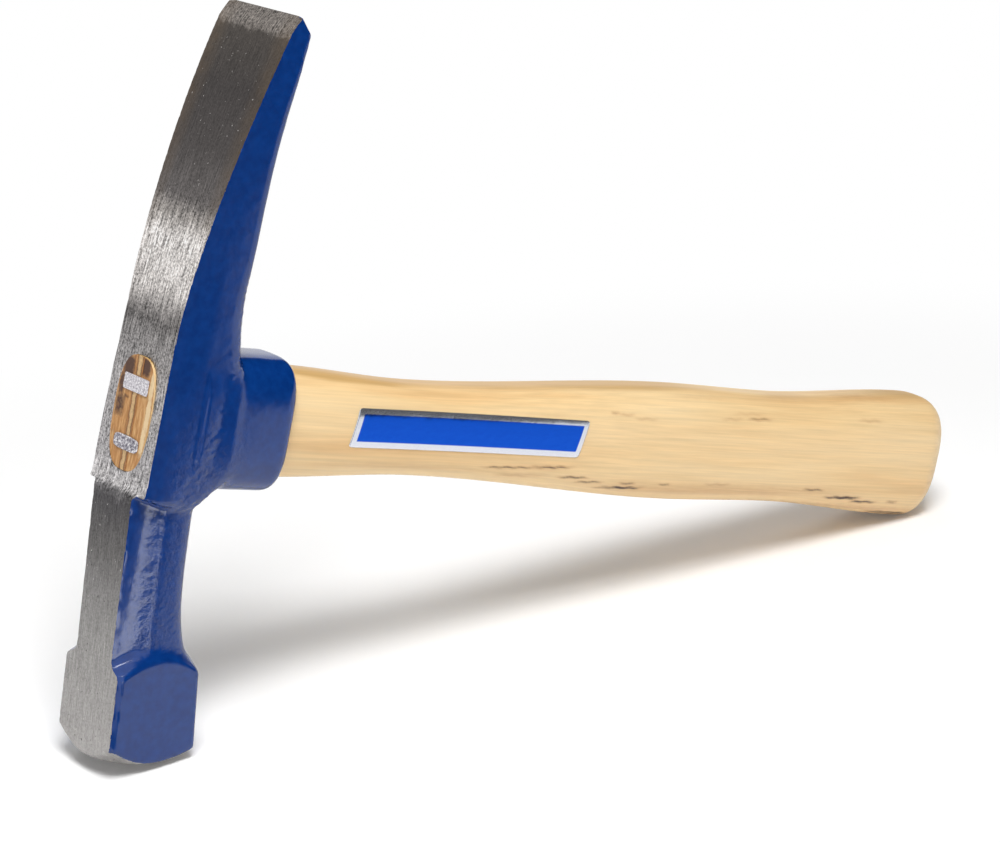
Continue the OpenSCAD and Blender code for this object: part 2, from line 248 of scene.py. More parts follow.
def contour(field, low, high, step):
    """Surface where field is zero, as four-sided faces. Each grid cell that it crosses gets one point, the
    least-squares meeting point of the tangent planes at the cell's edge crossings, so that ground edges
    stay sharp, and each crossed grid edge makes the face between its four cells."""
    axes = [np.arange(a, b + step, step) for a, b in zip(low, high)]
    values = field(*np.meshgrid(*axes, indexing="ij"))
    cells = [len(a) - 1 for a in axes]
    points, quads = [], []
    for k in range(3):
        a, b = (k + 1) % 3, (k + 2) % 3
        start = np.moveaxis(values, k, 0)[:-1]
        end = np.moveaxis(values, k, 0)[1:]
        crossed = np.argwhere((start < 0) != (end < 0))
        v0 = start[tuple(crossed.T)]
        v1 = end[tuple(crossed.T)]
        index = np.empty_like(crossed)
        index[:, [k] + [i for i in range(3) if i != k]] = crossed
        inner = (index[:, [a, b]] > 0).all(1) & (index[:, a] < cells[a]) & (index[:, b] < cells[b])
        index, v0, v1 = index[inner], v0[inner], v1[inner]
        point = np.stack([axes[i][index[:, i]] for i in range(3)], -1)
        point[:, k] += step * v0 / (v0 - v1)
        corner = []
        for da, db in ((0, 0), (-1, 0), (-1, -1), (0, -1)):
            cell = index.copy()
            cell[:, a] += da
            cell[:, b] += db
            corner.append(np.ravel_multi_index(cell.T, cells))
        corner = np.stack(corner, -1)
        quads.append(np.where((v0 < 0)[:, None], corner, corner[:, ::-1]))
        points.append(point)
    points, quads = np.concatenate(points), np.concatenate(quads)
    nudges = 0.02 * np.eye(3)
    normal = np.stack([field(*(points + d).T) - field(*(points - d).T) for d in nudges], -1)
    normal /= np.linalg.norm(normal, axis=1, keepdims=True)
    used, corner = np.unique(quads, return_inverse=True)
    corner = corner.reshape(quads.shape)
    count = len(used)

    def gathered(value):
        """The sum of a value over each cell's edge crossings."""
        return sum(np.bincount(corner[:, c], weights=value, minlength=count) for c in range(4))

    members = gathered(np.ones(len(points)))
    centre = np.stack([gathered(points[:, i]) for i in range(3)], -1) / members[:, None]
    plane = np.einsum("ij,ij->i", normal, points)
    square = np.empty((count, 3, 3))
    for i in range(3):
        for j in range(i, 3):
            square[:, i, j] = square[:, j, i] = gathered(normal[:, i] * normal[:, j])
    side = np.stack([gathered(normal[:, i] * plane) for i in range(3)], -1)
    side -= np.einsum("nij,nj->ni", square, centre)
    held_near_centre = 0.06
    move = np.linalg.solve(square + held_near_centre * np.eye(3), side[..., None])[..., 0]
    return centre + np.clip(move, -0.7 * step, 0.7 * step), corner


def new_object(name, verts, faces):
    """A mesh object from vertex and face arrays, smooth shaded."""
    mesh = bpy.data.meshes.new(name)
    mesh.from_pydata(verts.tolist(), [], faces.tolist() if hasattr(faces, "tolist") else faces)
    mesh.polygons.foreach_set("use_smooth", np.ones(len(mesh.polygons), bool))
    mesh.update()
    made = bpy.data.objects.new(name, mesh)
    bpy.context.scene.collection.objects.link(made)
    return made


def linear(code):
    """A #RRGGBB colour as the linear values that a shader takes."""
    parts = [int(code[i:i + 2], 16) / 255 for i in (1, 3, 5)]
    return [p / 12.92 if p <= 0.04045 else ((p + 0.055) / 1.055) ** 2.4 for p in parts] + [1.0]


def add_node(tree, kind, inputs=None, stops=None, **settings):
    """Adds one shader node with its settings. Inputs maps a socket to a value, a #RRGGBB colour, another
    node's output, or another node, whose first output in use is meant; stops are a colour ramp's places and
    colours."""
    made = tree.nodes.new("ShaderNode" + kind)
    for key, value in settings.items():
        setattr(made, key, value)
    for key, value in (inputs or {}).items():
        if isinstance(value, bpy.types.Node):
            value = next(output for output in value.outputs if output.enabled)
        if isinstance(value, bpy.types.NodeSocket):
            tree.links.new(value, made.inputs[key])
        else:
            made.inputs[key].default_value = linear(value) if isinstance(value, str) else value
    for number, (place, colour) in enumerate(stops or []):
        ramp = made.color_ramp.elements
        stop = ramp[number] if number < 2 else ramp.new(place)
        stop.position = place
        stop.color = linear(colour) if isinstance(colour, str) else (colour, colour, colour, 1)
    return made


def new_material(name):
    """An empty node material and its tree."""
    made = bpy.data.materials.new(name)
    made.use_nodes = True
    made.node_tree.nodes.clear()
    return made, made.node_tree


def hammer_axes(tree):
    """Object coordinates turned back by the lean and given in millimetres: x along the handle, y across, z
    up. The scales of all patterns are thus so many to the millimetre."""
    co = add_node(tree, "TexCoord")
    x, z = EYE_AT
    eye = (z * math.sin(LEAN) - x * math.cos(LEAN), 0, -x * math.sin(LEAN) - z * math.cos(LEAN))
    turned = add_node(tree, "Mapping", {
        "Vector": co.outputs["Object"], "Location": eye, "Rotation": (0, -LEAN, 0)})
    return add_node(tree, "VectorMath", {0: turned, "Scale": 1000.0}, operation="SCALE")


def enamel_paint():
    """Dipped royal-blue enamel: a deep glossy skin with slight orange peel, its waves 2 mm wide, and on
    neck and eye the forging's scale under it, in marks of 1.3 mm that break up the reflections."""
    made, tree = new_material("blue_enamel")
    axes = hammer_axes(tree)
    peel = add_node(tree, "TexNoise", {"Vector": axes, "Scale": 0.45, "Detail": 2.0, "Roughness": 0.5})
    place = add_node(tree, "SeparateXYZ", {0: axes})
    rough_from = (("Z", 6.0, -16.0), ("X", 3.0, 16.0), ("X", 33.0, 26.0), ("Z", -66.0, -60.0))
    eases = [add_node(tree, "MapRange", {"Value": place.outputs[way], "From Min": start, "From Max": end})
             for way, start, end in rough_from]
    rough = eases[0]
    for ease in eases[1:]:
        rough = add_node(tree, "Math", {0: rough, 1: ease}, operation="MULTIPLY")
    scale_marks = add_node(tree, "TexNoise", {"Vector": axes, "Scale": 0.75, "Detail": 4.0, "Roughness": 0.6})
    marks = add_node(tree, "Math", {0: scale_marks, 1: rough}, operation="MULTIPLY")
    height = add_node(tree, "Math", {0: marks, 1: 9.0, 2: peel}, operation="MULTIPLY_ADD")
    bump = add_node(tree, "Bump", {"Height": height, "Strength": 0.4, "Distance": 0.00008})
    tint = add_node(tree, "ValToRGB", {0: peel}, [(0.3, "#042F72"), (0.7, "#08387F")])
    skin = add_node(tree, "BsdfPrincipled", {
        "Base Color": tint, "Roughness": 0.16, "IOR": 1.57, "Normal": bump})
    add_node(tree, "OutputMaterial", {"Surface": skin})
    return made


def ground_steel():
    """Carbon steel ground lengthwise on a belt. Its tone up the head is partly the steel's own and partly
    painted reflection and shade: dull brown-black on the blade, where it reflects a dark room, bright on the
    eye and the blade's lower part, even grey on the poll, and a dark band of painted shade at the step under
    the eye. It has bright specks, which are painted glints, and real pits. The scratches are really about 0.1
    mm apart; they are drawn 0.3 mm apart and 6 mm long so that they show, over grit marks of 0.7 mm."""
    made, tree = new_material("ground_steel")
    axes = hammer_axes(tree)
    place = add_node(tree, "SeparateXYZ", {0: axes})
    wander = add_node(tree, "TexNoise", {"Vector": axes, "Scale": 0.3, "Detail": 3.0, "Roughness": 0.6})
    sway = add_node(tree, "Math", {0: wander, 1: 5.0, 2: place.outputs["Z"]}, operation="MULTIPLY_ADD")
    low, high = -92, 107
    span = add_node(tree, "MapRange", {"Value": sway, "From Min": low + 2.5, "From Max": high + 2.5})
    # Tones up the ground face, partly the steel's own and partly painted reflection: dark up the blade where
    # it reflects a dark room, and a dark band of painted shade from -23 to -20.5 mm at the step under the
    # eye.
    tones_and_reflections = [(-92, "#A6A3A1"), (-60, "#969492"), (-46, "#82807F"), (-36, "#686665"), (-23, "#4E4C4E"),
             (-20.5, "#6A6869"), (-19, "#B9B6B6"), (-10, "#A4A1A2"), (5, "#A6A3A3"), (22, "#827F7E"),
             (24.5, "#6C6968"), (28, "#8F8B89"), (33, "#C8C3C0"), (46, "#DAD5D2"), (52, "#98938F"),
             (57, "#656160"), (70, "#504C4B"), (86, "#464241"), (101.4, "#4F4A46"), (102.6, "#7C7671")]
    tone = add_node(tree, "ValToRGB", {0: span}, [((up - low) / (high - low), c) for up, c in tones_and_reflections])
    fine = add_node(tree, "Mapping", {"Vector": axes, "Scale": (0.4, 3.2, 0.17)})
    lines = add_node(tree, "TexNoise", {"Vector": fine, "Scale": 1.0, "Detail": 4.0, "Roughness": 0.65})
    grit = add_node(tree, "TexNoise", {"Vector": axes, "Scale": 1.5, "Detail": 3.0, "Roughness": 0.75})
    both = add_node(tree, "Math", {0: grit, 1: 0.9, 2: lines}, operation="MULTIPLY_ADD")
    amounts = [(-92, 0.25), (-60, 0.3), (-24, 0.45), (-20, 1.0), (24, 1.0), (30, 0.9), (54, 1.0), (59, 0.5),
               (70, 0.35), (101, 0.35), (103, 1.0)]
    depth = add_node(tree, "ValToRGB", {0: span}, [((up - low) / (high - low), a) for up, a in amounts])
    uneven = add_node(tree, "Math", {0: both, 1: 0.95}, operation="SUBTRACT")
    uneven = add_node(tree, "Math", {0: uneven, 1: depth}, operation="MULTIPLY")
    contrast = add_node(tree, "Math", {0: uneven, 1: 4.6, 2: 1.0}, operation="MULTIPLY_ADD")
    contrast = add_node(tree, "Math", {0: contrast, 1: 0.15}, operation="MAXIMUM")
    colour = add_node(tree, "VectorMath", {0: tone, "Scale": contrast}, operation="SCALE")
    specks = add_node(tree, "TexNoise", {"Vector": axes, "Scale": 1.15, "Detail": 2.0, "Roughness": 0.6})
    # The bright specks are painted glints; the dark pits are the steel's own.
    bright = add_node(tree, "MapRange", {"Value": specks, "From Min": 0.71, "From Max": 0.75, "To Max": 0.7})
    pitted = add_node(tree, "MapRange", {"Value": specks, "From Min": 0.31, "From Max": 0.27, "To Max": 0.75})
    side = add_node(tree, "Math", {0: place.outputs["Y"]}, operation="ABSOLUTE")
    margin = add_node(tree, "MapRange", {"Value": side, "From Min": 9.0, "From Max": 15.5, "To Max": 0.5})
    on_blade = add_node(tree, "MapRange", {"Value": place.outputs["Z"], "From Min": 25.0, "From Max": 60.0})
    stained = add_node(tree, "Math", {0: margin, 1: on_blade}, operation="MULTIPLY")
    stained = add_node(tree, "Math", {0: stained, 1: wander}, operation="MULTIPLY")
    for share, tint in ((stained, "#7A6449"), (bright, "#E6E2DE"), (pitted, "#2E2B2A")):
        colour = add_node(tree, "Mix", {"Factor": share, "A": colour, "B": tint}, data_type="RGBA")
    bump = add_node(tree, "Bump", {"Height": both, "Strength": 0.3, "Distance": 0.00006})
    skin = add_node(tree, "BsdfPrincipled", {
        "Base Color": colour, "Metallic": 1.0, "Roughness": 0.42, "Normal": bump})
    add_node(tree, "OutputMaterial", {"Surface": skin})
    return made


def make_head():
    """The head's mesh: painted where the forging shows, bare steel on every ground or bored face."""
    grain = 0.56
    verts, faces = contour(lambda *p: head_layers(*p).max(0), (-7, -18, -97), (46, 18, 109.5), grain)
    head = new_object("head", placed(*verts.T), faces)
    head.data.materials.append(enamel_paint())
    head.data.materials.append(ground_steel())
    middle = verts[faces].mean(1)
    bare = head_layers(*middle.T).argmax(0) > 0
    head.data.polygons.foreach_set("material_index", bare.astype(np.int32))
    head.data.set_sharp_from_angle(angle=math.radians(32))
    return head


head = make_head()
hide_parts("hammer_head")
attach(head, "root")

# ---- Handle ----
# One billet of hickory, turned to an oval, sanded and lacquered. Its tenon fills the eye, where the end grain
# shows. Pale sapwood runs along the sides, a honey-coloured band of painted shade along the top, and mineral
# streaks along the lower edge.
DOME_START, BUTT_END = 293.2, 305.5      # where the butt begins to round over, and its end
TENON_END = -0.2                         # the tenon's flat end, just proud of the ground face
FIT = 0.05                               # how much smaller than the eye the tenon is on each side


def eased(x, stations):
    """A value that eases from each station to the next along x, and stays level before and after them."""
    value = stations[0][1] + 0 * x
    for (x0, a), (x1, b) in zip(stations, stations[1:]):
        value = value + (b - a) * smooth((x - x0) / (x1 - x0))
    return value


def grip_sizes(x):
    """Half height, half thickness and squareness of the handle's section: collar, neck, swell, waist and
    butt."""
    neck, swell, waist = 90.1, 192.4, 231.3
    height = eased(x, [(COLLAR_REACH, 30.4), (neck, 26), (swell, 34), (waist, 33), (DOME_START, 39)])
    thick = eased(x, [(COLLAR_REACH, 20.8), (neck, 20), (swell, 25.2), (DOME_START, 27)])
    return height / 2, thick / 2, eased(x, [(COLLAR_REACH, 2.3), (neck, 2.9)])


def handle_surface(x, share, angle):
    """Points of the handle: squared ellipses along x, waisted in the eye, closed over the butt by a rounded
    dome whose crown sits 1.6 mm high. The share draws a section in towards its middle, for the tenon's flat
    end."""
    in_eye = x < COLLAR_REACH
    high, wide, square = [np.where(in_eye, eye, grip) for eye, grip in zip(eye_sizes(x), grip_sizes(x))]
    dome = (1 - np.clip((x - DOME_START) / (BUTT_END - DOME_START), 0, 1) ** 2.2) ** (1 / 2.2)
    c, s = np.cos(angle), np.sin(angle)
    across = (wide - FIT) * dome * share * np.sign(c) * np.abs(c) ** (2 / square)
    up = (high - FIT) * dome * share * np.sign(s) * np.abs(s) ** (2 / square) + 1.6 * (1 - dome)
    return np.stack([x + 0 * angle, across, up], -1)


def closed_tube(rings, first, last):
    """Faces of a tube of points, rings by points around, closed with a fan to a point at each end."""
    rows, around = rings.shape[:2]
    i, j = np.meshgrid(np.arange(rows - 1), np.arange(around), indexing="ij")
    k = (j + 1) % around
    sides = np.stack([i * around + j, i * around + k, (i + 1) * around + k, (i + 1) * around + j], -1)
    sides = sides.reshape(-1, 4)
    j = np.arange(around)
    k = (j + 1) % around
    near = np.stack([k, j, np.full(around, rows * around)], -1)
    far = np.stack([(rows - 1) * around + j, (rows - 1) * around + k, np.full(around, rows * around + 1)], -1)
    verts = np.concatenate([rings.reshape(-1, 3), [first, last]])
    return verts, sides.tolist() + near.tolist() + far.tolist()


def paint_on(made, name, values):
    """Keeps one number for each vertex, for a material to read."""
    layer = made.data.attributes.new(name, "FLOAT", "POINT")
    layer.data.foreach_set("value", np.ascontiguousarray(values, np.float32))


# Mineral streaks on the near side: start and end along the handle, height at each end, half width and
# strength. They are what the photograph shows.
STREAKS = np.array([
    (115, 130, -8.3, -7.6, 0.24, 0.7), (131, 144, -7.5, -6.9, 0.26, 0.75),
    (121, 136, -10.5, -9.7, 0.6, 0.25), (143, 152, -10.1, -9.8, 0.24, 0.7),
    (150, 158, -11.4, -10.9, 0.24, 0.7), (159, 174, -12.9, -12.2, 0.34, 0.95),
    (166, 171, -11.2, -10.9, 0.26, 0.6), (181, 185, -10.8, -10.8, 0.24, 0.55),
    (200, 209, -10.2, -10.0, 0.35, 0.4), (242, 250, -10.6, -10.4, 0.28, 0.7),
    (254, 266, -12.9, -12.6, 0.36, 1.1), (266, 275, -14.0, -13.8, 0.32, 0.9),
    (281, 285, -13.6, -13.4, 0.3, 0.6), (277, 294, -17.6, -17.9, 0.7, 0.7),
    (157, 159.5, 9.6, 9.7, 0.35, 0.6), (160, 165, 9.2, 9.4, 0.26, 0.5), (167, 174, 8.4, 8.7, 0.26, 0.4),
    (202, 209, 9.8, 10.1, 0.3, 0.45), (207, 218, 11.5, 11.9, 0.35, 0.3),
    (213, 221, 10.2, 10.5, 0.28, 0.85), (261, 269, 11.9, 12.2, 0.32, 0.5),
    (186, 203, 15.1, 15.5, 0.4, 0.2), (226, 243, 16.1, 16.5, 0.4, 0.22), (256, 275, 17.6, 18.3, 0.4, 0.25),
    (168, 249, -13.2, -10.8, 1.7, 0.22), (60, 110, -9.5, -9.0, 0.8, 0.12),
    (215, 292, -16.0, -16.6, 0.9, 0.3)])


def streak_depth(x, y, z):
    """How dark the wood's streaks are at each place: for each one a flat-topped bell along it times a bell
    across it, and the largest of these. The far side has the same ones, moved 23 mm along and 2 mm up."""
    depth = np.zeros_like(x)
    for start, end, low, high, width, strength in STREAKS:
        for side, along_by, up_by in ((-1, 0, 0), (1, 23, 2)):
            t = (x - along_by - start) / (end - start) * 0.75 + 0.125
            line = low + (high - low) * t + up_by + 0.12 * np.sin(x * 1.3)
            bell = np.exp(-(2 * t - 1) ** 4 * 1.6 - ((z - line) / (width + 0.14)) ** 2)
            depth = np.maximum(depth, strength * bell * (y * side > 0) * np.where(z > 7, 0.6, 1))
    return depth


# Stains on the tenon's end: middle across and up, half sizes, and strength, which is below zero for the near
# rim's pale sapwood.
STAINS = np.array([
    (4.6, 11.4, 2.6, 3.2, 1.0), (-2.6, 12.6, 2.6, 2.6, 1.0), (6.6, 6.6, 1.3, 3.4, 0.9),
    (6.0, 1.0, 2.3, 3.4, 0.8), (1.0, 1.6, 0.35, 3.4, 0.9), (1.6, -2.6, 0.3, 3.0, 0.8),
    (3.6, 3.6, 1.6, 0.5, 0.7), (-0.6, -12.4, 0.2, 2.6, 0.5), (7.0, -7.0, 0.9, 3.0, 0.35),
    (-6.7, 8.4, 1.1, 4.4, -0.9), (-6.9, 1.0, 1.1, 5.0, -0.9), (-6.6, -6.0, 1.1, 4.4, -0.8)])


def stain_depth(y, z):
    """How dark or pale the end grain is: soft ellipses, the dark ones above zero and the pale ones below."""
    bells = [s * np.exp(-((y - a) / p) ** 4 - ((z - b) / q) ** 4) for a, b, p, q, s in STAINS]
    return np.max(bells, 0).clip(0) + np.min(bells, 0).clip(None, 0)


def hickory():
    """Lacquered hickory: straight fine grain about 0.8 mm apart, soft tonal bands, a honey-coloured band
    along the top that is painted shade, and streaks that break into threads of 0.5 mm."""
    made, tree = new_material("lacquered_hickory")
    axes = hammer_axes(tree)
    slow = add_node(tree, "Mapping", {"Vector": axes, "Scale": (0.010, 0.13, 0.13)})
    bands = add_node(tree, "TexNoise", {"Vector": slow, "Scale": 1.0, "Detail": 4.0, "Roughness": 0.5})
    fine = add_node(tree, "Mapping", {"Vector": axes, "Scale": (0.03, 1.3, 1.3)})
    grain = add_node(tree, "TexNoise", {"Vector": fine, "Scale": 1.0, "Detail": 5.0, "Roughness": 0.6})
    thread = add_node(tree, "Mapping", {"Vector": axes, "Scale": (0.06, 2.2, 2.2)})
    threads = add_node(tree, "TexNoise", {"Vector": thread, "Scale": 1.0, "Detail": 3.0, "Roughness": 0.6})
    tone = add_node(tree, "ValToRGB", {0: bands}, [(0.3, "#EBC188"), (0.5, "#F6D49E"), (0.7, "#FBDDAB")])
    # The darker honey colour along the top is painted shade.
    top_shade_share = add_node(tree, "Attribute", attribute_name="top_shade")
    honey = add_node(tree, "Mix", {
        "Factor": top_shade_share.outputs["Fac"], "A": tone, "B": "#CFA566"}, data_type="RGBA")
    depth = add_node(tree, "MapRange", {
        "Value": grain, "From Min": 0.3, "From Max": 0.7, "To Min": 0.88, "To Max": 1.04})
    colour = add_node(tree, "VectorMath", {0: honey, "Scale": depth}, operation="SCALE")
    streak = add_node(tree, "Attribute", attribute_name="streak")
    broken = add_node(tree, "MapRange", {
        "Value": threads, "From Min": 0.4, "From Max": 0.55, "To Min": 0.75, "To Max": 1.35})
    dark = add_node(tree, "Math", {0: streak.outputs["Fac"], 1: broken}, operation="MULTIPLY", use_clamp=True)
    burnt = add_node(tree, "ValToRGB", {0: dark}, [(0.3, "#A8683A"), (0.8, "#3E2414")])
    wood = add_node(tree, "Mix", {"Factor": dark, "A": colour, "B": burnt}, data_type="RGBA")
    bump = add_node(tree, "Bump", {"Height": grain, "Strength": 0.2, "Distance": 0.00005})
    skin = add_node(tree, "BsdfPrincipled", {
        "Base Color": wood, "Roughness": 0.38, "IOR": 1.5, "Normal": bump})
    add_node(tree, "OutputMaterial", {"Surface": skin})
    return made


def end_grain():
    """Sawn and sanded hickory end grain soaked with oil: orange-brown, stained dark by the steel. Its
    pores, really 0.3 mm across, are drawn at 0.9 mm so that they show."""
    made, tree = new_material("hickory_end_grain")
    axes = hammer_axes(tree)
    pores = add_node(tree, "TexNoise", {"Vector": axes, "Scale": 1.1, "Detail": 4.0, "Roughness": 0.65})
    rays = add_node(tree, "Mapping", {"Vector": axes, "Scale": (1, 0.9, 0.16), "Rotation": (0.25, 0, 0)})
    lines = add_node(tree, "TexNoise", {"Vector": rays, "Scale": 1.6, "Detail": 3.0, "Roughness": 0.6})
    tone = add_node(tree, "ValToRGB", {0: lines}, [(0.3, "#A8703A"), (0.5, "#C48E54"), (0.7, "#DDB37C")])
    stain = add_node(tree, "Attribute", attribute_name="stain")
    uneven = add_node(tree, "Math", {0: pores, 1: 0.5}, operation="SUBTRACT")
    place = add_node(tree, "Math", {0: uneven, 1: 0.9, 2: stain.outputs["Fac"]}, operation="MULTIPLY_ADD")
    dark = add_node(tree, "MapRange", {"Value": place, "From Min": 0.25, "From Max": 0.85})
    pale = add_node(tree, "MapRange", {"Value": place, "From Min": -0.3, "From Max": -0.7})
    cream = add_node(tree, "Mix", {"Factor": pale, "A": tone, "B": "#EBD0A4"}, data_type="RGBA")
    wood = add_node(tree, "Mix", {"Factor": dark, "A": cream, "B": "#4A2A16"}, data_type="RGBA")
    bump = add_node(tree, "Bump", {"Height": pores, "Strength": 0.5, "Distance": 0.00015})
    skin = add_node(tree, "BsdfPrincipled", {
        "Base Color": wood, "Roughness": 0.5, "IOR": 1.5, "Normal": bump})
    add_node(tree, "OutputMaterial", {"Surface": skin})
    return made


def make_handle():
    """The handle's mesh: rings on the tenon's flat end, along the grip and over the butt."""
    end_rings, around = 24, 240
    over_butt = np.sin(np.linspace(0.03, 1, 26)[:-1] * math.pi / 2)
    in_eye, on_grip = np.linspace(3, COLLAR_REACH - 0.2, 10), np.linspace(COLLAR_REACH + 0.2, 293, 250)
    butt = DOME_START + (BUTT_END - DOME_START) * over_butt
    x = np.concatenate([np.full(end_rings + 1, TENON_END), in_eye, on_grip, butt])
    share = np.concatenate([np.linspace(0.04, 0.98, end_rings), np.ones(len(x) - end_rings)])
    angle = np.arange(around) * 2 * math.pi / around
    rings = handle_surface(x[:, None], share[:, None], angle[None])
    verts, faces = closed_tube(rings, (TENON_END, 0, 0), (BUTT_END, 0, 1.6))
    made = new_object("wooden_handle", placed(*verts.T), faces)
    made.data.set_sharp_from_angle(angle=math.radians(50))
    # Above this edge the top of the handle gets painted shade, a darker honey colour.
    top_shade_edge = np.interp(verts[:, 0], [0, 44.6, 58, 79, 115, 152, 192, 234, 257, 306],
                           [14, 13.7, 12.7, 12.2, 13.0, 14.9, 16.7, 17.5, 18.2, 19.4])
    paint_on(made, "top_shade", smooth((verts[:, 2] - top_shade_edge + 0.5) / 1.2) * 0.85)
    paint_on(made, "streak", streak_depth(*verts.T))
    paint_on(made, "stain", stain_depth(verts[:, 1], verts[:, 2]))
    made.data.materials.append(hickory())
    made.data.materials.append(end_grain())
    sawn = np.zeros(len(made.data.polygons), np.int32)
    sawn[:end_rings * around] = 1
    sawn[-2 * around:-around] = 1
    made.data.polygons.foreach_set("material_index", sawn)
    return made


handle = make_handle()
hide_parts("handle")
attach(handle, "root")

# ---- Wooden wedge ----
# A thin slip of pale hickory glued into the tenon's saw kerf, which spreads the tenon across the eye. The
# solid from the frame stays; a dark glue line shows at either side of the slip.


def wedge_slip():
    """Pale end grain 2 mm wide between two dark kerf lines, and beyond them the tenon's own orange-brown."""
    made, tree = new_material("wedge_end_grain")
    axes = hammer_axes(tree)
    wander = add_node(tree, "TexNoise", {"Vector": axes, "Scale": 0.35, "Detail": 3.0, "Roughness": 0.6})
    place = add_node(tree, "SeparateXYZ", {0: axes})
    sway = add_node(tree, "Math", {0: wander, 1: 1.6, 2: place.outputs["Y"]}, operation="MULTIPLY_ADD")
    span = add_node(tree, "MapRange", {"Value": sway, "From Min": -1.2, "From Max": 2.8})
    tone = add_node(tree, "ValToRGB", {0: span}, [
        (0.0, "#B9824A"), (0.2, "#A06C3A"), (0.26, "#5A3519"), (0.32, "#C9A06A"), (0.5, "#DDBB8A"),
        (0.66, "#D0A874"), (0.72, "#6B4222"), (0.8, "#B07A44")])
    pores = add_node(tree, "TexNoise", {"Vector": axes, "Scale": 1.3, "Detail": 4.0, "Roughness": 0.65})
    depth = add_node(tree, "MapRange", {
        "Value": pores, "From Min": 0.3, "From Max": 0.7, "To Min": 0.72, "To Max": 1.1})
    colour = add_node(tree, "VectorMath", {0: tone, "Scale": depth}, operation="SCALE")
    bump = add_node(tree, "Bump", {"Height": pores, "Strength": 0.5, "Distance": 0.00015})
    skin = add_node(tree, "BsdfPrincipled", {
        "Base Color": colour, "Roughness": 0.5, "IOR": 1.5, "Normal": bump})
    add_node(tree, "OutputMaterial", {"Surface": skin})
    return made


wooden_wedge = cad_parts["wooden_wedge"]
wooden_wedge.data.materials.clear()
wooden_wedge.data.materials.append(wedge_slip())

# ---- Steel wedges ----
# Two zinc-plated steel wedges driven across the wooden one to lock it. The upper is cut from square bar
# with a sawn end, the lower is round-edged with a knurled end; both stand about half a millimetre out of
# the wood.
RIM_ROW = 20                             # the row of points where a wedge's end turns into its sides
PROUD = 0.55                             # how far the ends stand out of the ground face


def wedge_surface(turn, row, half_across, half_up, power, middle_up, lumps):
    """Rows of squared ovals: from the middle of the driven end out to its rounded edge, then down the
    tapering sides, which start 5 per cent in, under the burr. The end is uneven by a sum of sines; lumps
    sets its height in millimetres."""
    on_end, down = row < RIM_ROW, np.clip(row - RIM_ROW, 0, None)
    edge = np.where(on_end, np.sin(np.clip(row / RIM_ROW, 0, 1) * math.pi / 2), 0.95)
    share = np.where(row > RIM_ROW, 1, edge * 0.995)
    depth = np.where(on_end, 0.22 * np.clip((row - 16) / 4, 0, 1) ** 2, 0.3 + 3.1 * down)
    c, s = np.cos(turn), np.sin(turn)
    across = half_across * share * np.sign(c) * np.abs(c) ** (2 / power)
    up = half_up * share * (1 - 0.11 * down) * np.sign(s) * np.abs(s) ** (2 / power)
    bumps = lumps * (ripple(0 * across, across, up, 1.3, 5) + 0.6 * ripple(0 * across, across, up, 0.8, 6))
    along = depth - PROUD + bumps * (row < RIM_ROW - 2)
    return np.stack([along + 0 * across, across, up + middle_up], -1)


def plated_steel(name, to_the_mm, light, dark):
    """Zinc-plated steel, sawn or knurled: bright with grey hollows. The teeth's marks are drawn at 0.5 to
    0.7 mm, coarser than the real ones, so that they show."""
    made, tree = new_material(name)
    axes = hammer_axes(tree)
    grit = add_node(tree, "TexNoise", {"Vector": axes, "Scale": to_the_mm, "Detail": 3.0, "Roughness": 0.7})
    tone = add_node(tree, "ValToRGB", {0: grit}, [(0.38, dark), (0.5, light), (0.63, "#F4F2F4")])
    bump = add_node(tree, "Bump", {"Height": grit, "Strength": 0.5, "Distance": 0.0002})
    skin = add_node(tree, "BsdfPrincipled", {
        "Base Color": tone, "Metallic": 1.0, "Roughness": 0.4, "Normal": bump})
    add_node(tree, "OutputMaterial", {"Surface": skin})
    return made


def make_wedge(name, node, finish, **sizes):
    """One driven steel wedge, on its node's place."""
    turn = np.arange(96) * 2 * math.pi / 96
    row = np.concatenate([np.linspace(0.6, RIM_ROW, 22), [21, 22.5, 25.2]])
    rings = wedge_surface(turn[None], row[:, None], **sizes)
    verts, faces = closed_tube(rings, rings[0].mean(0), rings[-1].mean(0))
    made = new_object(name, placed(*verts.T), faces)
    made.data.set_sharp_from_angle(angle=math.radians(60))
    made.data.materials.append(finish)
    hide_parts(node)
    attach(made, "root")
    return made


sawn = plated_steel("sawn_zinc_plate", 1.9, "#CDC9CF", "#A19CA4")
square_wedge = make_wedge("square_wedge", "square_steel_wedge", sawn,
                          half_across=5.65, half_up=2.15, power=14, middle_up=7.6, lumps=0.04)
knurled = plated_steel("knurled_zinc_plate", 1.4, "#A29FA8", "#6A6772")
round_wedge = make_wedge("round_wedge", "round_steel_wedge", knurled,
                         half_across=5.65, half_up=1.95, power=4, middle_up=-7.9, lumps=0.14)

# ---- Camera ----
# It stands on the hammer's near side, towards the head, and looks slightly down through a long lens. The
# photograph is 1000 points wide and 842 tall.
CAMERA_AIM = Vector((-0.01704, 0, 0.06538))
CAMERA_AZIMUTH, CAMERA_ELEVATION, CAMERA_ROLL = 39.192, 18.780, 0.400
CAMERA_DISTANCE = 0.895916
CAMERA_LENS, SENSOR = 114.292, 36.0
WIDE, TALL, SHIFT = 1000, 842, (0.0, 0.0)


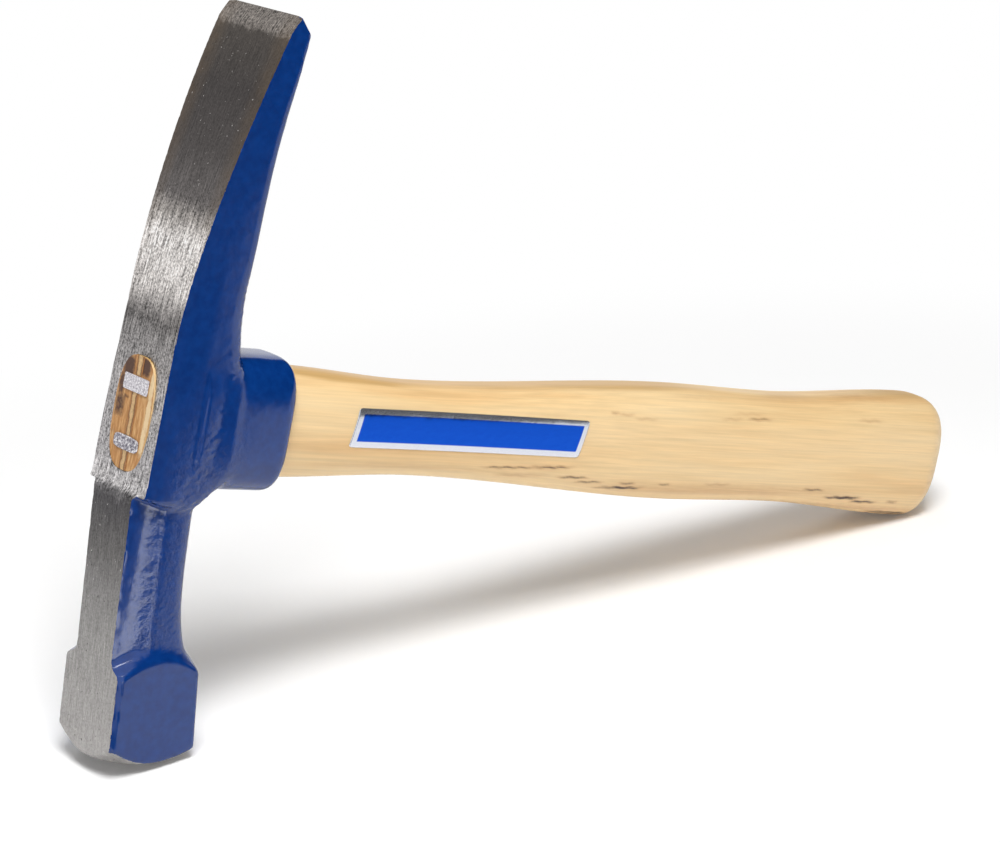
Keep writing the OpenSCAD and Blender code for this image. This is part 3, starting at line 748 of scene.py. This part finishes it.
def make_camera():
    """A camera at a distance from its aim, along an azimuth and elevation, with a slight clockwise roll."""
    az, el = math.radians(CAMERA_AZIMUTH), math.radians(CAMERA_ELEVATION)
    ahead = Vector((math.sin(az) * math.cos(el), math.cos(az) * math.cos(el), -math.sin(el)))
    data = bpy.data.cameras.new("camera")
    data.sensor_fit, data.sensor_width, data.lens = "AUTO", SENSOR, CAMERA_LENS
    data.clip_start, data.clip_end = 0.01, 50
    made = bpy.data.objects.new("camera", data)
    made.location = CAMERA_AIM - ahead * CAMERA_DISTANCE
    made.rotation_mode = "QUATERNION"
    roll = Quaternion((0, 0, 1), -math.radians(CAMERA_ROLL))
    made.rotation_quaternion = ahead.to_track_quat("-Z", "Y") @ roll
    bpy.context.scene.collection.objects.link(made)
    bpy.context.scene.camera = made
    return made


camera = make_camera()


def tree_of(*pieces):
    """A search tree of the finished, placed faces of some pieces."""
    verts, faces = [], []
    for piece in pieces:
        done = piece.evaluated_get(bpy.context.evaluated_depsgraph_get()).to_mesh()
        faces += [[v + len(verts) for v in p.vertices] for p in done.polygons]
        verts += [piece.matrix_world @ v.co for v in done.vertices]
    return BVHTree.FromPolygons(verts, faces)


def seen_at(x, y, tree):
    """The place on a surface that an image point shows: a ray from the camera, or the nearest place on a
    miss."""
    long = max(WIDE, TALL)
    right, up = x - WIDE / 2 + SHIFT[0] * long, TALL / 2 - y + SHIFT[1] * long
    way = camera.rotation_quaternion @ Vector((right, up, -long * CAMERA_LENS / SENSOR)).normalized()
    hit = tree.ray_cast(camera.location, way)[0]
    if hit is None:
        hit = tree.find_nearest(camera.location + way * CAMERA_DISTANCE)[0]
    return hit


# ---- Label ----
# A stick-on label of metallised film, printed in transparent blue, so that the silver shows as a border and
# the blue shines like metal. It is stretched round the handle's near side; the print is left bare of words.
LABEL_POINTS = {"label_top_left": (360, 408), "label_top_right": (590, 421),
                "label_bottom_right": (577.5, 457.5), "label_bottom_left": (348, 447)}
CORNER_RADIUS = 0.9                      # of the film's corners


def hammer_place(point):
    """A place in the frame, in metres, as hammer millimetres along and up: the reverse of placed()."""
    x, z = (point.x - EYE_AT[0]) * 1000, (point.z - EYE_AT[1]) * 1000
    return np.array([x * math.cos(LEAN) - z * math.sin(LEAN), x * math.sin(LEAN) + z * math.cos(LEAN)])


def film_surface(s, t, corners, proud):
    """The film between its four corners: straight lines across and along, drawn in at the ends near the top
    and bottom edge for its round corners, and laid on the handle's side, proud of it along the section's
    normal."""
    height = np.linalg.norm(corners["top_left"] - corners["bottom_left"])
    length = np.linalg.norm(corners["top_left"] - corners["top_right"])
    near_edge = np.clip(CORNER_RADIUS - np.minimum(t, 1 - t) * height, 0, CORNER_RADIUS)
    inset = (CORNER_RADIUS - np.sqrt(CORNER_RADIUS ** 2 - near_edge ** 2)) / length
    s = inset + s * (1 - 2 * inset)
    along, up = sum(share[..., None] * corners[name] for name, share in (
        ("bottom_left", (1 - s) * (1 - t)), ("bottom_right", s * (1 - t)),
        ("top_left", (1 - s) * t), ("top_right", s * t))).transpose(2, 0, 1)
    high, wide, square = grip_sizes(along)
    share = np.clip(np.abs(up / high), 0, 1)
    side = wide * (1 - share ** square) ** (1 / square)
    tilt = (wide / high) * np.sign(up) * share ** (square - 1) / (side / wide) ** (square - 1)
    reach = np.sqrt(1 + tilt ** 2)
    return np.stack([along, -(side + proud / reach), up + proud * tilt / reach], -1), s, t


def printed_film():
    """Metallised polyester film: mirror silver at the border and transparent blue ink over silver within,
    both glossy, with waves of 4 mm where it was pressed on by hand."""
    made, tree = new_material("metallised_label_film")
    ink = add_node(tree, "Attribute", attribute_name="ink")
    edge = add_node(tree, "MapRange", {"Value": ink.outputs["Fac"], "From Min": 0.35, "From Max": 0.65})
    axes = hammer_axes(tree)
    waves = add_node(tree, "TexNoise", {"Vector": axes, "Scale": 0.25, "Detail": 2.0})
    colour = add_node(tree, "Mix", {"Factor": edge, "A": "#D9DCE6", "B": "#0650C8"}, data_type="RGBA")
    bump = add_node(tree, "Bump", {"Height": waves, "Strength": 0.25, "Distance": 0.0002})
    skin = add_node(tree, "BsdfPrincipled", {
        "Base Color": colour, "Metallic": 0.85, "Roughness": 0.13, "Normal": bump})
    add_node(tree, "OutputMaterial", {"Surface": skin})
    return made


def make_label():
    """The film's face, 0.16 mm proud of the wood, with a rim that turns down to it, and its blue panel."""
    wood = tree_of(handle)
    corners = {name[6:]: hammer_place(seen_at(*point, wood)) for name, point in LABEL_POINTS.items()}
    s, t = np.meshgrid(np.linspace(0, 1, 201), np.linspace(0, 1, 41), indexing="ij")
    sheet, u, v = film_surface(s, t, corners, 0.16)
    under, _, _ = film_surface(s, t, corners, 0.02)
    grid = np.pad(under, ((1, 1), (1, 1), (0, 0)), mode="edge")
    grid[1:-1, 1:-1] = sheet
    rows, cols = grid.shape[:2]
    i, j = np.meshgrid(np.arange(rows - 1), np.arange(cols - 1), indexing="ij")
    faces = np.stack([i * cols + j, (i + 1) * cols + j, (i + 1) * cols + j + 1, i * cols + j + 1], -1)
    made = new_object("printed_label", placed(*grid.reshape(-1, 3).T), faces.reshape(-1, 4))
    u, v = np.pad(u, 1, mode="edge"), np.pad(v, 1, mode="edge")
    length, height = 84, 10.9
    from_ends = np.minimum(u - 0.024, 0.98 - u) * length
    from_edges = np.minimum(v - 0.155, 0.86 - v) * height
    paint_on(made, "ink", np.clip(0.5 + np.minimum(from_ends, from_edges) * 1.2, 0, 1).ravel())
    made.data.materials.append(printed_film())
    return made


label = make_label()
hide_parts("handle_label")
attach(label, "root")

# ---- Floor ----
# A plain white sweep under the hammer. It is a matt sheet that keeps the shadow near the hammer, and
# between 0.2 and 0.4 m out it fades to plain white for the camera and for reflections, as a photographer's
# sweep of paper does.


def seen_directly(tree):
    """1 for rays from the camera, a reflection or clear glass, and 0 for light that goes between matt
    things."""
    path = add_node(tree, "LightPath")
    camera_ray, glossy_ray = path.outputs["Is Camera Ray"], path.outputs["Is Glossy Ray"]
    seen = add_node(tree, "Math", {0: camera_ray, 1: glossy_ray}, operation="MAXIMUM")
    return add_node(tree, "Math", {0: seen, 1: path.outputs["Is Transmission Ray"]}, operation="MAXIMUM")


def sweep_paper():
    """Matt white paper, faintly lit from within where it is seen, which plain white replaces further out."""
    made, tree = new_material("white_paper_sweep")
    co = add_node(tree, "TexCoord")
    oval = add_node(tree, "Mapping", {
        "Vector": co.outputs["Object"], "Location": (0.02, -0.2, 0), "Scale": (3.6, 5.5, 1)})
    far = add_node(tree, "VectorMath", {0: oval}, operation="LENGTH")
    fade = add_node(tree, "MapRange", {"Value": far, "From Min": 0.7, "From Max": 1.5},
                    interpolation_type="SMOOTHSTEP")
    seen = seen_directly(tree)
    share = add_node(tree, "Math", {0: seen, 1: fade}, operation="MULTIPLY")
    matt = add_node(tree, "BsdfDiffuse", {"Color": "#FAFAFA"})
    plain = add_node(tree, "Emission", {"Color": "#FFFFFF", "Strength": 1.0})
    lift = add_node(tree, "Math", {0: seen, 1: 0.08}, operation="MULTIPLY")
    glow = add_node(tree, "Emission", {"Color": "#FFFFFF", "Strength": lift})
    sheet = add_node(tree, "AddShader", {0: matt, 1: glow})
    mixed = add_node(tree, "MixShader", {"Fac": share, 1: sheet, 2: plain})
    add_node(tree, "OutputMaterial", {"Surface": mixed})
    return made


def flat_sheet(name, points):
    """One flat sheet from its corners, for the floor and the dark boards."""
    made = new_object(name, np.array(points, float), [list(range(len(points)))])
    return made


floor = flat_sheet("floor", [(-6, -6, 0), (6, -6, 0), (6, 6, 0), (-6, 6, 0)])
floor.data.materials.append(sweep_paper())

# ---- Light ----
# A soft box above and towards the camera, a weak lamp behind, a small bright one for the glints on the
# enamel, and a dim white room. Black boards lie and stand in front, as in a studio, so that the enamel's
# upper half reflects dark and its lower half the sweep.
world = bpy.data.worlds.new("white_room")
bpy.context.scene.world = world
world.use_nodes = True
world.node_tree.nodes.clear()
room = world.node_tree
level = add_node(room, "MapRange", {"Value": seen_directly(room), "To Min": 0.19, "To Max": 1.0})
walls = add_node(room, "Background", {"Color": "#FFFFFF", "Strength": level})
add_node(room, "OutputWorld", {"Surface": walls})


def area_light(name, place, aim, size, power):
    """A rectangular lamp that faces a point."""
    data = bpy.data.lights.new(name, "AREA")
    data.shape, data.size, data.size_y, data.energy = "RECTANGLE", size[0], size[1], power
    made = bpy.data.objects.new(name, data)
    made.location = place
    made.rotation_euler = (Vector(aim) - Vector(place)).to_track_quat("-Z", "Y").to_euler()
    bpy.context.scene.collection.objects.link(made)
    return made


soft_box = area_light("soft_box", (-0.36, -0.55, 1.3), (0.0, 0.05, 0.0), (0.6, 0.6), 18)
soft_box.visible_glossy = False
back_lamp = area_light("back_lamp", (0.15, 0.6, 1.2), (0.0, 0.0, 0.05), (0.8, 0.8), 2)
back_lamp.visible_glossy = False
area_light("glint_lamp", (-0.36, -0.55, 1.29), (-0.13, 0, 0.05), (0.16, 0.16), 1.4)


def board(name, points, colour, glow=1.0):
    """A flat board that only reflections see: black felt, or white card lit by its own lamp."""
    made = flat_sheet(name, points)
    finish, tree = new_material(name + "_face")
    face = add_node(tree, "Emission", {"Color": colour, "Strength": glow})
    add_node(tree, "OutputMaterial", {"Surface": face})
    made.data.materials.append(finish)
    made.visible_camera = made.visible_diffuse = made.visible_shadow = made.visible_transmission = False
    return made


LEFT, RIGHT, FRONT, TOP = 0.1, 2.4, -1.7, 2.4      # the bounds of the boards, in metres
# The table's edge towards the hammer: where the enamel's reflection turns from the white sweep to the black
# table.
table_edge = [(-0.2, -0.02), (-0.15, -0.045), (-0.119, -0.08), (-0.08, -0.115), (-0.02, -0.177),
              (0.025, -0.233), (0.066, -0.275), (0.108, -0.320), (0.16, -0.37), (0.3, -0.44), (0.646, -0.62),
              (RIGHT, -1.0), (RIGHT, FRONT)]
table = [(-0.22, -0.02), (-0.22, -0.7), (LEFT, FRONT)] + table_edge[::-1]
card = [(-0.168, -0.092), (-0.138, -0.081), (-0.0786, -0.304), (-0.095, -0.312)]
board("dark_table", [(x, y, 0.002) for x, y in table], "#000000")
board("standing_board", [(LEFT, FRONT, 0.0), (RIGHT, FRONT, 0.0), (RIGHT, FRONT, TOP), (LEFT, FRONT, TOP)],
      "#000000")
board("right_board", [(RIGHT, FRONT, 0.0), (RIGHT, FRONT, TOP), (RIGHT, 2.0, TOP), (RIGHT, 2.0, 0.0)],
      "#000000")
board("ceiling_board", [(LEFT, FRONT, TOP), (RIGHT, FRONT, TOP), (RIGHT, 1.4, TOP), (LEFT, 1.4, TOP)],
      "#1A1A1A")
board("white_card", [(x, y, 0.004) for x, y in card], "#FFFFFF", 4.5)

# ---- Picture points ----
# Where the photograph shows the hammer's edges and features. Each point has its x and y, its piece (None for
# the whole hammer), and the way in which it is the outermost place of that piece.
POINTS = {
    "left": (59, None, None, (-1, 0)), "right": (940, None, None, (1, 0)), "top": (None, 0, None, (0, -1)),
    "bottom": (None, 765.5, None, (0, 1)), "tip_near_corner": (303.5, 19, head, (1, -2)),
    "blade_back_corner": (310.5, 39, head, (1, 0)), "collar_rim": (296, None, head, (1, 0.1)),
    "poll_lower_corner": (193.5, 748, head, (1, 1)),
    "square_wedge_corner": (125, 374, square_wedge, (-1, -1)),
    "round_wedge_end": (141, 441.5, round_wedge, (1, 0)),
    "butt_lowest": (None, 515, handle, (0, 1)), "label_top_left": (360, 408, label, (-0.3, -1)),
    "label_top_right": (590, 421, label, (1, -0.5)), "label_bottom_right": (577.5, 457.5, label, (0.3, 1)),
    "label_bottom_left": (348, 447, label, (-1, 0.5))}
HIDDEN_BY = 0.0006      # metres: a vertex this far behind the first surface on its ray doesn't show


def shown_at(place):
    """Where a place in the frame shows in the picture."""
    p = camera.rotation_quaternion.inverted() @ (Vector(place) - camera.location)
    long = max(WIDE, TALL)
    focal = long * CAMERA_LENS / SENSOR
    return WIDE / 2 - SHIFT[0] * long + focal * p.x / -p.z, TALL / 2 + SHIFT[1] * long - focal * p.y / -p.z


def write_points():
    """For each point, finds the outermost finished vertex that the camera sees; the result is not kept."""
    pieces = [head, handle, label, square_wedge, round_wedge]
    everything = tree_of(*pieces)
    places = {piece: [piece.matrix_world @ v.co for v in piece.data.vertices] for piece in pieces}
    spots = {piece: np.array([shown_at(p) for p in places[piece]]) for piece in pieces}
    for name, (x, y, only, way) in POINTS.items():
        best = None
        for piece in [only] if only else pieces:
            reach = spots[piece] @ np.array(way)
            for n in np.argsort(-reach)[:300]:
                path = places[piece][n] - camera.location
                hit = everything.ray_cast(camera.location, path.normalized())
                if hit[0] is None or hit[3] > path.length - HIDDEN_BY:
                    if best is None or reach[n] > best[0]:
                        best = reach[n], spots[piece][n]
                    break


write_points()
bpy.context.scene.view_settings.view_transform = "Standard"
